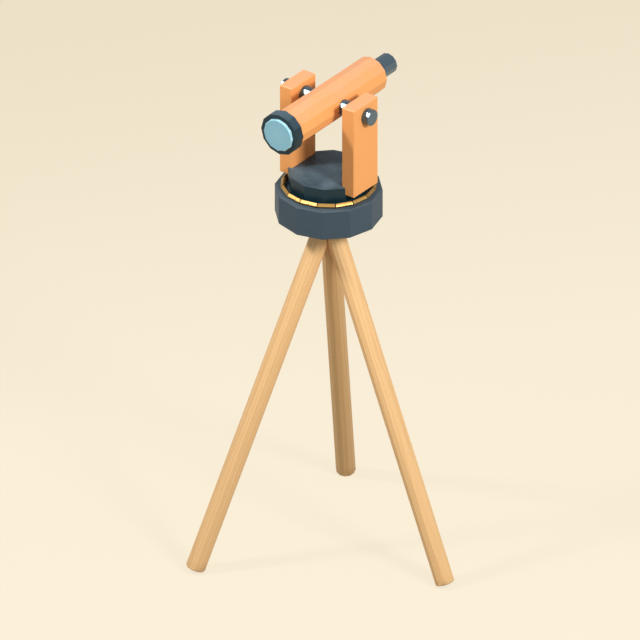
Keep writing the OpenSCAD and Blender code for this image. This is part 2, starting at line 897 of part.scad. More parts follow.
module eyepiece_barrel() {
    low = tube_half + side_gap;
    high = tube_half + eyepiece_len;
    color("darkslategray") along_y() difference() {
        union() {
            facet_prism(eyepiece_r, low, high, 0, eyepiece_bevel);
            rod(drawtube_r, tube_half - drawtube_len, low + nudge);
        }
        rod(eye_way_r, -far, high - eye_wall);
        rod(eye_way_r - eye_stop, 0, far);
    }
}

// Lens with one bulging face, from a flat face at the given place
module bulging_lens(r, y) {
    along_y() intersection() {
        rod(r - fixed, y, y + eye_lens_t);
        translate([0, 0, y + eye_lens_t - eye_ball_r]) sphere(r = eye_ball_r, $fn = ball_sides);
    }
}

module field_lens() {
    color("lightblue") bulging_lens(eye_way_r, tube_half - drawtube_len + nudge);
}

module eye_lens() {
    color("lightblue") bulging_lens(eye_way_r, tube_half + eyepiece_len - eye_wall - eye_lens_t);
}

leg(0);  // leg_right
leg(1);  // leg_rear
leg(2);  // leg_left
hinge_pin(0);  // hinge_pin_right
hinge_pin(1);  // hinge_pin_rear
hinge_pin(2);  // hinge_pin_left
pin_plugs(0);  // pin_plugs_right
pin_plugs(1);  // pin_plugs_rear
pin_plugs(2);  // pin_plugs_left
stand_head();
head_bolts();
drum_shell();
drum_floor();
floor_screws();
limb_ring();
axis_bush();
thrust_ring();
turret_disc();
spindle();
spindle_screws();
spring_washer();
spindle_nut();
standard(-1);  // standard_left
standard(1);  // standard_right
standard_bolts();
trunnion_bush(-1);  // trunnion_bush_left
trunnion_bush(1);  // trunnion_bush_right
telescope_tube();
objective_collar();
objective_lens();
inner_lens();
lens_ring();
trunnion(-1);  // trunnion_left
trunnion(1);  // trunnion_right
rear_cap();
reticle();
focus_slide();
focus_lens();
focus_rack();
knob(-1);  // focus_knob
pinion_shaft();
knob(1);  // clamp_knob
clamp_stud();
eyepiece_barrel();
field_lens();
eye_lens();
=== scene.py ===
import json
import math

import bpy
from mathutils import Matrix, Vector


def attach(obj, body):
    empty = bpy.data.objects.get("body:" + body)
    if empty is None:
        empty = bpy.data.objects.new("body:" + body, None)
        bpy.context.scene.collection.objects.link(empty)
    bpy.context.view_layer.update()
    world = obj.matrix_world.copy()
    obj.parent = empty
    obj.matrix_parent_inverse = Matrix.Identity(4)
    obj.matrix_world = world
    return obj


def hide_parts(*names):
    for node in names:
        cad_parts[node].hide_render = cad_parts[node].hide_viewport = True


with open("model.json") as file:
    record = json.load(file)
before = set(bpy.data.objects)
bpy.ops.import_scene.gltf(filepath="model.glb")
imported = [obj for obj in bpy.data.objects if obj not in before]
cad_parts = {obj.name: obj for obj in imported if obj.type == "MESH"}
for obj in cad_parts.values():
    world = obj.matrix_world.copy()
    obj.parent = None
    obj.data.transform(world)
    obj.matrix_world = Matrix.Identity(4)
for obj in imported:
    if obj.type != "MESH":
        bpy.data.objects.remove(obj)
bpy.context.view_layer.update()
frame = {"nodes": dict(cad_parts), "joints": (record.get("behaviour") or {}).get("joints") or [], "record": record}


nodes = frame["nodes"]
joints = {joint["name"]: joint for joint in frame["joints"]}
slotOfNode = {part["node"]: part["material_slot"] for part in frame["record"]["subparts"]}
trunnionHeight = joints["telescope_tilt"]["pos_m"][2]


# Small helpers for node trees. An input takes a socket to link or a plain value.

def addNode(tree, kind, inputs=None, **settings):
    node = tree.nodes.new(kind)
    for name, value in settings.items():
        setattr(node, name, value)
    for name, value in (inputs or {}).items():
        if isinstance(value, bpy.types.NodeSocket):
            tree.links.new(value, node.inputs[name])
        else:
            node.inputs[name].default_value = value
    return node


def mathNode(tree, operation, first, second=0.5, clamp=False):
    node = addNode(tree, "ShaderNodeMath", {0: first, 1: second},
                   operation=operation, use_clamp=clamp)
    return node.outputs[0]


def mixColour(tree, factor, first, second, blend="MIX"):
    # a mix node keeps its colour sockets behind those for numbers and vectors
    node = addNode(tree, "ShaderNodeMix", {0: factor, 6: first, 7: second},
                   data_type="RGBA", blend_type=blend)
    return node.outputs[2]


def remap(tree, value, low, high, toLow=0.0, toHigh=1.0):
    node = addNode(tree, "ShaderNodeMapRange", {
        "Value": value, "From Min": low, "From Max": high, "To Min": toLow, "To Max": toHigh})
    return node.outputs["Result"]


def noise(tree, place, scale, detail, roughness=0.5):
    return addNode(tree, "ShaderNodeTexNoise", {
        "Vector": place, "Scale": scale, "Detail": detail, "Roughness": roughness}).outputs["Fac"]


def swing(tree, value, amount):
    # a noise around one half becomes a swing either way from nothing
    middle = mathNode(tree, "SUBTRACT", value, 0.5)
    return mathNode(tree, "MULTIPLY", mathNode(tree, "MULTIPLY", middle, amount), 2.0)


def newGroup(name, sockets):
    group = bpy.data.node_groups.new(name, "ShaderNodeTree")
    for label, direction, kind, default in sockets:
        socket = group.interface.new_socket(name=label, in_out=direction, socket_type=kind)
        if default is not None:
            socket.default_value = default
    start = group.nodes.new("NodeGroupInput").outputs
    end = group.nodes.new("NodeGroupOutput").inputs
    return group, start, end


def placeGroup(tree, group, inputs):
    return addNode(tree, "ShaderNodeGroup", inputs, node_tree=group).outputs


def linear(red, green, blue):
    def channel(value):
        value = value / 255
        return value / 12.92 if value <= 0.04045 else ((value + 0.055) / 1.055) ** 2.4
    return (channel(red), channel(green), channel(blue), 1.0)


floatIn = ("INPUT", "NodeSocketFloat")
vectorIn = ("INPUT", "NodeSocketVector")
colourIn = ("INPUT", "NodeSocketColor")
floatOut = ("OUTPUT", "NodeSocketFloat", None)
colourOut = ("OUTPUT", "NodeSocketColor", None)


# Shared effects. A noise is given as its scale, detail and roughness, and a range as where
# it starts and ends, then what these two become where that isn't 0 and 1.

edgeShape = {
    "samples": 4,
    "turned": (0.995, 0.86),  # how far the rounded normal agrees with the flat one
    "patchDetail": 5.0, "patchRoughness": 0.65, "patches": (0.42, 0.66),
}


def makeEdgeWear():
    group, start, end = newGroup("edgeWear", [
        ("Place", *vectorIn, (0, 0, 0)),
        ("Reach", *floatIn, 0.002),
        ("Amount", *floatIn, 0.5),
        ("Patches", *floatIn, 60.0),
        ("Mask", *floatOut),
    ])
    rounded = addNode(group, "ShaderNodeBevel", {"Radius": start["Reach"]},
                      samples=edgeShape["samples"])
    flat = addNode(group, "ShaderNodeNewGeometry")
    facing = addNode(group, "ShaderNodeVectorMath", {
        0: rounded.outputs["Normal"], 1: flat.outputs["True Normal"]}, operation="DOT_PRODUCT")
    edge = remap(group, facing.outputs["Value"], *edgeShape["turned"])
    patches = noise(group, start["Place"], start["Patches"], edgeShape["patchDetail"],
                    edgeShape["patchRoughness"])
    worn = mathNode(group, "MULTIPLY", edge, remap(group, patches, *edgeShape["patches"]))
    group.links.new(mathNode(group, "MULTIPLY", worn, start["Amount"], True), end["Mask"])
    return group


# One mask serves real dust and a painted sheen: it lightens upward faces in patches, which on the enamels paints
# the tops paler as light from above would.
dustAndSheenShape = {
    "upward": (0.35, 1.0),
    "cloud": (14.0, 6.0, 0.6), "cloudCover": (0.35, 0.7, 0.3, 1.0),
    "specks": (420.0, 2.0), "speckCover": (0.3, 0.7, 0.6, 1.0),
}


def makeDustAndSheen():
    group, start, end = newGroup("dustLayer", [
        ("Place", *vectorIn, (0, 0, 0)),
        ("Amount", *floatIn, 0.2),
        ("Mask", *floatOut),
    ])
    shape = addNode(group, "ShaderNodeNewGeometry")
    normal = addNode(group, "ShaderNodeSeparateXYZ", {"Vector": shape.outputs["True Normal"]})
    upward = remap(group, normal.outputs["Z"], *dustAndSheenShape["upward"])
    cloud = noise(group, start["Place"], *dustAndSheenShape["cloud"])
    specks = noise(group, start["Place"], *dustAndSheenShape["specks"])
    patchCover = mathNode(group, "MULTIPLY", remap(group, cloud, *dustAndSheenShape["cloudCover"]),
                     remap(group, specks, *dustAndSheenShape["speckCover"]))
    layer = mathNode(group, "MULTIPLY", upward, patchCover)
    group.links.new(mathNode(group, "MULTIPLY", layer, start["Amount"], True), end["Mask"])
    return group


paintShape = {
    "broad": (9.0, 4.0, 0.55), "broadShare": 0.7,
    "small": (70.0, 3.0), "smallShare": 0.3,
    "peel": (900.0, 1.0),
}


def makePaintSurface():
    group, start, end = newGroup("paintSurface", [
        ("Place", *vectorIn, (0, 0, 0)),
        ("Colour", *colourIn, (0.5, 0.5, 0.5, 1)),
        ("Mottle", *floatIn, 0.06),
        ("Base Roughness", *floatIn, 0.4),
        ("Uneven", *floatIn, 0.1),
        ("Colour", *colourOut),
        ("Roughness", *floatOut),
        ("Height", *floatOut),
    ])
    broad = noise(group, start["Place"], *paintShape["broad"])
    small = noise(group, start["Place"], *paintShape["small"])
    tone = mathNode(group, "ADD", mathNode(group, "MULTIPLY", broad, paintShape["broadShare"]),
                    mathNode(group, "MULTIPLY", small, paintShape["smallShare"]))
    bright = mathNode(group, "ADD", swing(group, tone, start["Mottle"]), 1.0)
    grey = addNode(group, "ShaderNodeCombineXYZ", {"X": bright, "Y": bright, "Z": bright})
    tinted = mixColour(group, 1.0, start["Colour"], grey.outputs["Vector"], "MULTIPLY")
    group.links.new(tinted, end["Colour"])
    rough = mathNode(group, "ADD", start["Base Roughness"], swing(group, small, start["Uneven"]))
    group.links.new(rough, end["Roughness"])
    group.links.new(noise(group, start["Place"], *paintShape["peel"]), end["Height"])
    return group


metalShape = {
    "stain": (38.0, 6.0, 0.62), "stained": (0.42, 0.68), "stainDullness": 0.25,
    "fine": (130.0, 3.0),
}


def makeTurnedMetal():
    group, start, end = newGroup("turnedMetal", [
        ("Place", *vectorIn, (0, 0, 0)),
        ("Colour", *colourIn, (0.5, 0.5, 0.5, 1)),
        ("Tarnish", *colourIn, (0.3, 0.3, 0.3, 1)),
        ("Tarnish Amount", *floatIn, 0.3),
        ("Base Roughness", *floatIn, 0.25),
        ("Streaks", *floatIn, 0.1),
        ("Squeeze", *vectorIn, (1, 1, 1)),
        ("Colour", *colourOut),
        ("Roughness", *floatOut),
        ("Height", *floatOut),
    ])
    stain = noise(group, start["Place"], *metalShape["stain"])
    stainMask = mathNode(group, "MULTIPLY", remap(group, stain, *metalShape["stained"]),
                         start["Tarnish Amount"], True)
    group.links.new(mixColour(group, stainMask, start["Colour"], start["Tarnish"]), end["Colour"])
    squeezed = addNode(group, "ShaderNodeMapping", {
        "Vector": start["Place"], "Scale": start["Squeeze"]})
    fine = noise(group, squeezed.outputs["Vector"], *metalShape["fine"])
    polished = mathNode(group, "ADD", start["Base Roughness"],
                        swing(group, fine, start["Streaks"]))
    dull = mathNode(group, "ADD", polished, mathNode(
        group, "MULTIPLY", stainMask, metalShape["stainDullness"]))
    group.links.new(dull, end["Roughness"])
    group.links.new(fine, end["Height"])
    return group


# The pole is cut beside the heart of the tree, so the rings run through it as tall arches.
grainShape = {
    "heartAside": 0.045,
    "lengthwise": 0.08, "sway": (22.0, 2.0), "swayReach": 0.022,
    "late": (0.45, 1.0), "lateSharpness": 2.2, "lateDepth": 0.62, "lateHeight": 0.5,
    "fibreLengthwise": 0.02, "fibre": (520.0, 3.0, 0.6), "gloss": (0.3, 0.8, 0.42, 0.62),
    "pores": (0.60, 0.72), "poreDepth": 0.30,
    "tone": (9.0, 2.0), "toneReach": (0.3, 0.7, -0.10, 0.16),
}


def makeWoodGrain():
    group, start, end = newGroup("woodGrain", [
        ("Place", *vectorIn, (0, 0, 0)),
        ("Early Wood", *colourIn, (0.8, 0.6, 0.4, 1)),
        ("Late Wood", *colourIn, (0.5, 0.3, 0.15, 1)),
        ("Ring Spacing", *floatIn, 0.006),
        ("Contrast", *floatIn, 0.5),
        ("Colour", *colourOut),
        ("Roughness", *floatOut),
        ("Height", *floatOut),
    ])
    drawn = addNode(group, "ShaderNodeMapping", {
        "Vector": start["Place"], "Scale": (1, 1, grainShape["lengthwise"])}).outputs["Vector"]
    spot = addNode(group, "ShaderNodeSeparateXYZ", {"Vector": drawn})
    aside = mathNode(group, "ADD", spot.outputs["X"], grainShape["heartAside"])
    radius = mathNode(group, "SQRT", mathNode(
        group, "ADD", mathNode(group, "POWER", aside, 2.0),
        mathNode(group, "POWER", mathNode(group, "ABSOLUTE", spot.outputs["Y"]), 2.0)))
    sway = noise(group, drawn, *grainShape["sway"])
    bent = mathNode(group, "ADD", radius, mathNode(
        group, "MULTIPLY", sway, grainShape["swayReach"]))
    rings = mathNode(group, "FRACT", mathNode(group, "DIVIDE", bent, start["Ring Spacing"]))
    late = mathNode(group, "POWER", remap(group, rings, *grainShape["late"]),
                    grainShape["lateSharpness"])
    fibres = addNode(group, "ShaderNodeMapping", {
        "Vector": start["Place"], "Scale": (1, 1, grainShape["fibreLengthwise"])})
    fibre = noise(group, fibres.outputs["Vector"], *grainShape["fibre"])
    pores = remap(group, fibre, *grainShape["pores"])
    dark = mathNode(group, "ADD", mathNode(group, "MULTIPLY", late, grainShape["lateDepth"]),
                    mathNode(group, "MULTIPLY", pores, grainShape["poreDepth"]))
    tone = noise(group, drawn, *grainShape["tone"])
    dark = mathNode(group, "ADD", dark, remap(group, tone, *grainShape["toneReach"]))
    dark = mathNode(group, "MULTIPLY", dark, start["Contrast"], True)
    group.links.new(mixColour(group, dark, start["Early Wood"], start["Late Wood"]), end["Colour"])
    group.links.new(remap(group, fibre, *grainShape["gloss"]), end["Roughness"])
    height = mathNode(group, "SUBTRACT", mathNode(
        group, "MULTIPLY", late, grainShape["lateHeight"]), pores)
    group.links.new(height, end["Height"])
    return group


edgeWear = makeEdgeWear()
dustLayer = makeDustAndSheen()
paintSurface = makePaintSurface()
turnedMetal = makeTurnedMetal()
woodGrain = makeWoodGrain()
print("shared effects built")


# Materials

def newMaterial(name, **constants):
    material = bpy.data.materials.new(name)
    material.use_nodes = True
    tree = material.node_tree
    shader = tree.nodes["Principled BSDF"]
    for label, value in constants.items():
        shader.inputs[label].default_value = value
    place = addNode(tree, "ShaderNodeTexCoord").outputs["Object"]
    return material, tree, shader, place


def bump(tree, shader, height, strength, distance):
    node = addNode(tree, "ShaderNodeBump", {
        "Height": height, "Strength": strength, "Distance": distance})
    tree.links.new(node.outputs["Normal"], shader.inputs["Normal"])


paintFinish = {"wearPatches": 55.0, "dustDullness": 0.35, "peelDepth": 0.0002}


def paint(name, look):
    material, tree, shader, place = newMaterial(name, **{
        "Coat Weight": look["coat"], "Coat Roughness": look["coatRoughness"],
        "Specular IOR Level": look["specular"]})
    surface = placeGroup(tree, paintSurface, {
        "Place": place, "Colour": look["colour"], "Mottle": look["mottle"],
        "Base Roughness": look["roughness"], "Uneven": look["uneven"]})
    worn = placeGroup(tree, edgeWear, {
        "Place": place, "Reach": look["wearReach"], "Amount": look["wear"],
        "Patches": paintFinish["wearPatches"]})
    dust = placeGroup(tree, dustLayer, {"Place": place, "Amount": look["dust"]})
    colour = mixColour(tree, worn["Mask"], surface["Colour"], look["underneath"])
    # the dust colour mixed on upward faces is real dust and, on the enamels, also a painted sheen on the tops
    colour = mixColour(tree, dust["Mask"], colour, look["dustColour"])
    tree.links.new(colour, shader.inputs["Base Color"])
    rough = mathNode(tree, "ADD", surface["Roughness"], mathNode(
        tree, "MULTIPLY", dust["Mask"], paintFinish["dustDullness"]))
    tree.links.new(rough, shader.inputs["Roughness"])
    bump(tree, shader, surface["Height"], look["peel"], paintFinish["peelDepth"])
    return material


metalFinish = {"wearPatches": 90.0, "grimeDullness": 0.3, "grooveDepth": 0.0001}


def metal(name, look):
    material, tree, shader, place = newMaterial(name, Metallic=look["metallic"])
    surface = placeGroup(tree, turnedMetal, {
        "Place": place, "Colour": look["colour"], "Tarnish": look["tarnish"],
        "Tarnish Amount": look["tarnishAmount"], "Base Roughness": look["roughness"],
        "Streaks": look["streaks"], "Squeeze": look["squeeze"]})
    worn = placeGroup(tree, edgeWear, {
        "Place": place, "Reach": look["wearReach"], "Amount": look["wear"],
        "Patches": metalFinish["wearPatches"]})
    colour = mixColour(tree, worn["Mask"], surface["Colour"], look["underneath"])
    rough = surface["Roughness"]
    if "endMark" in look:
        mark = addNode(tree, "ShaderNodeAttribute", attribute_name=look["endMark"]).outputs["Fac"]
        grime = remap(tree, mark, 0.0, 1.0, 0.0, look["grimeAmount"])
        colour = mixColour(tree, grime, colour, look["grime"])
        rough = mathNode(tree, "ADD", rough, mathNode(
            tree, "MULTIPLY", grime, metalFinish["grimeDullness"]))
    tree.links.new(colour, shader.inputs["Base Color"])
    tree.links.new(rough, shader.inputs["Roughness"])
    bump(tree, shader, surface["Height"], look["grooves"], metalFinish["grooveDepth"])
    return material


def glass(name, look):
    material, tree, shader, place = newMaterial(name, **{
        "Metallic": 0.0, "Roughness": look["roughness"], "IOR": look["ior"],
        "Transmission Weight": look["clear"], "Coat Weight": look["coat"],
        "Coat Roughness": look["coatRoughness"]})
    # distance from the telescope's axis, which runs along Y at the trunnions' height
    spot = addNode(tree, "ShaderNodeMapping", {
        "Vector": place, "Location": (0, 0, -trunnionHeight), "Scale": (1, 0, 1)})
    reach = addNode(tree, "ShaderNodeVectorMath", {
        0: spot.outputs["Vector"]}, operation="LENGTH").outputs["Value"]
    bloom = noise(tree, place, *look["bloom"])
    depth = mathNode(tree, "ADD", remap(tree, reach, 0.0, look["radius"]),
                     remap(tree, bloom, *look["bloomReach"]))
    colour = mixColour(tree, depth, look["middle"], look["edge"])
    # the bevelled rim is painted lighter all round: a painted highlight
    colour = mixColour(tree, remap(tree, reach, *look["bevelFade"]), colour, look["bevel"])
    tree.links.new(colour, shader.inputs["Base Color"])
    return material


woodLook = {
    "early": linear(243, 197, 139),
    "late": linear(200, 144, 86),
    "ringSpacing": 0.0065,
    "contrast": 0.55,
    "grainStrength": 0.25, "grainDepth": 0.0003,
    "coat": 0.06, "coatRoughness": 0.35, "specular": 0.25,
    "rubbed": linear(250, 215, 168), "wear": 0.35, "wearReach": 0.0025, "wearPatches": 40.0,
    "footSoil": linear(186, 146, 100), "soilHeight": 0.04,
    "soil": (60.0, 4.0), "soilCover": (0.35, 0.7),
    # a darker colour mixed into the rear leg only: painted shade
    "shaded": linear(170, 134, 78),
    "footReach": 0.403, "meetHeight": 1.041,  # where the legs' middle lines end and meet
    "boards": {  # turn about the upright axis, shift along the board, share of painted shade
        "right": (0.0, 0.0, 0.0), "rear": (120.0, 0.4, 0.35), "left": (240.0, 0.8, 0.0)},
}


def legWood(name, turn, shift, shade):
    tilt = math.atan2(woodLook["footReach"], woodLook["meetHeight"])
    material, tree, shader, place = newMaterial(name, **{
        "Coat Weight": woodLook["coat"], "Coat Roughness": woodLook["coatRoughness"],
        "Specular IOR Level": woodLook["specular"]})
    # the leg is turned back and stood upright, so its grain runs along Z
    turned = addNode(tree, "ShaderNodeVectorRotate", {
        "Vector": place, "Angle": -math.radians(turn)}, rotation_type="Z_AXIS")
    upright = addNode(tree, "ShaderNodeVectorRotate", {
        "Vector": turned.outputs["Vector"], "Angle": tilt,
        "Center": (0, 0, woodLook["meetHeight"])}, rotation_type="Y_AXIS")
    moved = addNode(tree, "ShaderNodeMapping", {
        "Vector": upright.outputs["Vector"], "Location": (0, 0, shift)})
    grain = placeGroup(tree, woodGrain, {
        "Place": moved.outputs["Vector"], "Early Wood": woodLook["early"],
        "Late Wood": woodLook["late"], "Ring Spacing": woodLook["ringSpacing"],
        "Contrast": woodLook["contrast"]})
    worn = placeGroup(tree, edgeWear, {
        "Place": place, "Reach": woodLook["wearReach"], "Amount": woodLook["wear"],
        "Patches": woodLook["wearPatches"]})
    height = addNode(tree, "ShaderNodeSeparateXYZ", {"Vector": place}).outputs["Z"]
    low = remap(tree, height, woodLook["soilHeight"], 0.0)
    soil = noise(tree, place, *woodLook["soil"])
    soiled = mathNode(tree, "MULTIPLY", low, remap(tree, soil, *woodLook["soilCover"]), True)
    # the rear leg is mixed darker by its share: painted shade
    colour = mixColour(tree, shade, grain["Colour"], woodLook["shaded"])
    colour = mixColour(tree, worn["Mask"], colour, woodLook["rubbed"])
    colour = mixColour(tree, soiled, colour, woodLook["footSoil"])
    tree.links.new(colour, shader.inputs["Base Color"])
    tree.links.new(grain["Roughness"], shader.inputs["Roughness"])
    bump(tree, shader, grain["Height"], woodLook["grainStrength"], woodLook["grainDepth"])
    return material


looks = {
    "slate_paint": {
        "colour": linear(69, 83, 93), "mottle": 0.20, "roughness": 0.50, "uneven": 0.14,
        "coat": 0.0, "coatRoughness": 0.3, "specular": 0.14, "peel": 0.16,
        "wear": 0.55, "wearReach": 0.0030, "underneath": linear(124, 134, 136),
        "dust": 0.16, "dustColour": linear(132, 138, 134)},
    "dark_enamel": {
        "colour": linear(15, 45, 54), "mottle": 0.22, "roughness": 0.36, "uneven": 0.16,
        "coat": 0.08, "coatRoughness": 0.26, "specular": 0.28, "peel": 0.06,
        "wear": 0.25, "wearReach": 0.0018, "underneath": linear(92, 104, 110),
        # the pale bluish dust on its upward faces is mostly a painted reflection of the sky on the tops
        "dust": 0.68, "dustColour": linear(118, 138, 150)},
    "orange_enamel": {
        "colour": linear(239, 164, 95), "mottle": 0.05, "roughness": 0.52, "uneven": 0.10,
        "coat": 0.12, "coatRoughness": 0.42, "specular": 0.22, "peel": 0.10,
        # the pinkish dust on its upward faces is mostly a painted sheen that pales the tops
        "wear": 0.15, "wearReach": 0.002, "underneath": linear(250, 194, 142),
        "dust": 0.42, "dustColour": linear(208, 164, 166)},
    "brass": {
        "colour": linear(216, 170, 98), "tarnish": linear(146, 110, 54), "tarnishAmount": 0.45,
        "metallic": 1.0, "roughness": 0.40, "streaks": 0.10, "grooves": 0.08,
        "squeeze": (1, 1, 8),
        "endMark": "jointGrime", "grime": linear(58, 42, 22), "grimeAmount": 0.9,
        "wear": 0.5, "wearReach": 0.0008, "underneath": linear(255, 228, 156)},
    "bronze": {
        "colour": linear(176, 130, 78), "tarnish": linear(98, 70, 44), "tarnishAmount": 0.5,
        "metallic": 1.0, "roughness": 0.36, "streaks": 0.12, "grooves": 0.15,
        "squeeze": (1, 1, 20),
        "wear": 0.3, "wearReach": 0.0008, "underneath": linear(222, 180, 120)},
    "dark_steel": {
        "colour": linear(92, 110, 121), "tarnish": linear(84, 98, 108), "tarnishAmount": 0.12,
        "metallic": 0.6, "roughness": 0.27, "streaks": 0.04, "grooves": 0.0,
        "squeeze": (1, 1, 1),
        "wear": 0.4, "wearReach": 0.0008, "underneath": linear(150, 162, 170)},
    "bright_steel": {
        "colour": linear(196, 198, 200), "tarnish": linear(120, 112, 104), "tarnishAmount": 0.4,
        "metallic": 1.0, "roughness": 0.28, "streaks": 0.12, "grooves": 0.15,
        "squeeze": (1, 1, 20),
        "wear": 0.3, "wearReach": 0.0006, "underneath": linear(228, 230, 232)},
    "light_alloy": {
        "colour": linear(186, 188, 192), "tarnish": linear(150, 152, 156), "tarnishAmount": 0.3,
        "metallic": 1.0, "roughness": 0.42, "streaks": 0.08, "grooves": 0.10,
        "squeeze": (1, 20, 1),
        "wear": 0.2, "wearReach": 0.0006, "underneath": linear(214, 216, 218)},
    "optical_glass": {
        "middle": linear(133, 190, 205), "edge": linear(125, 182, 198), "radius": 0.049,
        # the rim colour is a painted highlight
        "bevel": linear(176, 222, 232), "bevelFade": (0.0455, 0.0461),
        "bloom": (16.0, 2.0), "bloomReach": (0.3, 0.7, -0.08, 0.08),
        "roughness": 0.14, "clear": 0.0, "ior": 1.52, "coat": 0.5, "coatRoughness": 0.03},
}

materials = {}
for slotName in ("slate_paint", "dark_enamel", "orange_enamel"):
    materials[slotName] = paint(slotName, looks[slotName])
for slotName in ("brass", "bronze", "dark_steel", "bright_steel", "light_alloy"):
    materials[slotName] = metal(slotName, looks[slotName])
materials["optical_glass"] = glass("optical_glass", looks["optical_glass"])
for side, board in woodLook["boards"].items():
    materials["oiled_wood_" + side] = legWood("oiled_wood_" + side, *board)
print("materials built:", len(materials))


def dressNodes():
    for name, node in nodes.items():
        slotName = slotOfNode[name]
        if slotName == "oiled_wood":
            slotName += "_" + name.rsplit("_", 1)[1]
        node.data.materials.clear()
        node.data.materials.append(materials[slotName])


dressNodes()
print("nodes dressed")


# Repeated pieces, built with Geometry Nodes. Each look's sizes are the tree's inputs.

def joinAxes(tree, **parts):
    return addNode(tree, "ShaderNodeCombineXYZ", parts).outputs["Vector"]


def newGeometryTree(name, look):
    tree = bpy.data.node_groups.new(name, "GeometryNodeTree")
    tree.is_modifier = True
    tree.interface.new_socket(name="Geometry", in_out="OUTPUT", socket_type="NodeSocketGeometry")
    for label, value in look["sizes"].items():
        kind = "NodeSocketInt" if isinstance(value, int) else "NodeSocketFloat"
        tree.interface.new_socket(name=label, in_out="INPUT", socket_type=kind)
    start = tree.nodes.new("NodeGroupInput").outputs
    end = tree.nodes.new("NodeGroupOutput").inputs
    return tree, start, end


def bakePiece(tree, name, look):
    piece = bpy.data.objects.new(name, bpy.data.meshes.new(name))
    bpy.context.scene.collection.objects.link(piece)
    modifier = piece.modifiers.new("build", "NODES")
    modifier.node_group = tree
    for item in tree.interface.items_tree:
        if item.in_out == "INPUT":
            modifier[item.identifier] = look["sizes"][item.name]
    evaluated = piece.evaluated_get(bpy.context.evaluated_depsgraph_get())
    baked = bpy.data.meshes.new_from_object(evaluated)
    piece.modifiers.remove(modifier)
    piece.data = baked
    baked.name = name
    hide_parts(*look["replaces"])
    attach(piece, look["body"])
    return piece


def ringOf(tree, mesh, count, firstTurn, radius, height, material):
    placed = addNode(tree, "GeometryNodeTransform", {
        "Geometry": mesh, "Translation": joinAxes(tree, X=radius, Z=height)})
    points = addNode(tree, "GeometryNodePoints", {"Count": count})
    index = addNode(tree, "GeometryNodeInputIndex").outputs["Index"]
    step = mathNode(tree, "DIVIDE", math.tau, count)
    turn = mathNode(tree, "ADD", mathNode(tree, "MULTIPLY", index, step), firstTurn)
    copies = addNode(tree, "GeometryNodeInstanceOnPoints", {
        "Points": points.outputs["Points"], "Instance": placed.outputs["Geometry"],
        "Rotation": joinAxes(tree, Z=turn)})
    whole = addNode(tree, "GeometryNodeRealizeInstances", {
        "Geometry": copies.outputs["Instances"]})
    return addNode(tree, "GeometryNodeSetMaterial", {
        "Geometry": whole.outputs["Geometry"], "Material": material}).outputs["Geometry"]


limbLook = {
    "replaces": ["limb_ring"], "body": "base", "slot": "brass",
    "endMark": "jointGrime", "cornerSteps": 3,
    "sizes": {
        "Bar Count": 16, "Ring Radius": 0.12456, "Bar Radius": 0.0073, "Joint Gap": 0.0016,
        "Middle Height": 1.1335, "Corner Round": 0.0009, "End Round": 0.0012,
    },
}


